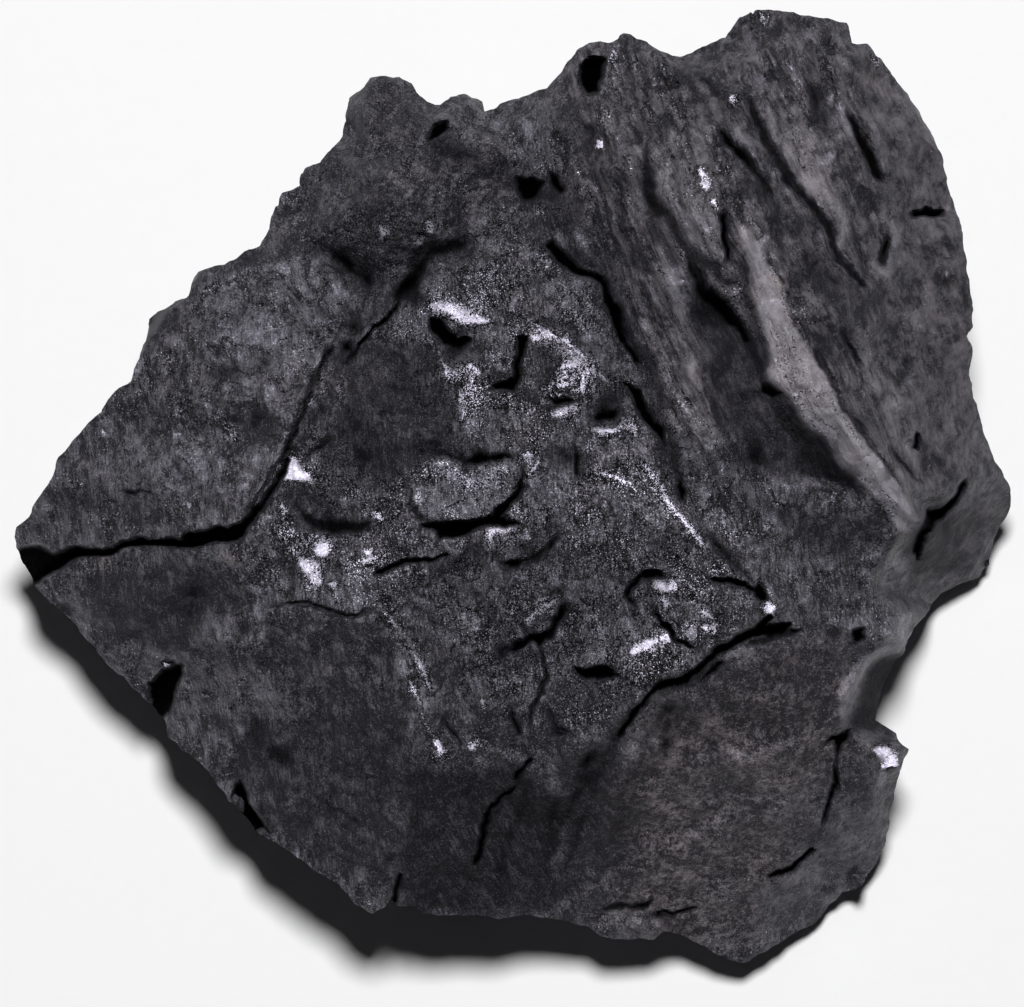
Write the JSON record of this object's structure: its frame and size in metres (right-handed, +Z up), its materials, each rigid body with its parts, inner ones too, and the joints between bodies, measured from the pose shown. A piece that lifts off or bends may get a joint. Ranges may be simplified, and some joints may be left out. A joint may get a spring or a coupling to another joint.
{
  "type": "coal lump",
  "caption": "Natural lump of bituminous coal with broken, faceted sides, glossy shell-shaped fractures and a flat underside to rest on.",
  "frame": {"origin": "middle of the flat underside, under the middle of the lump's box", "axes": "+X along the longest side, from the left tip to the right tip; +Z up from the face it rests on"},
  "size_m": [0.0602, 0.0572, 0.0261],
  "materials": {
    "coal": "satin black with glossy fracture faces"
  },
  "bodies": {
    "root": {"coal_lump": "coal"}
  },
  "joints": []
}
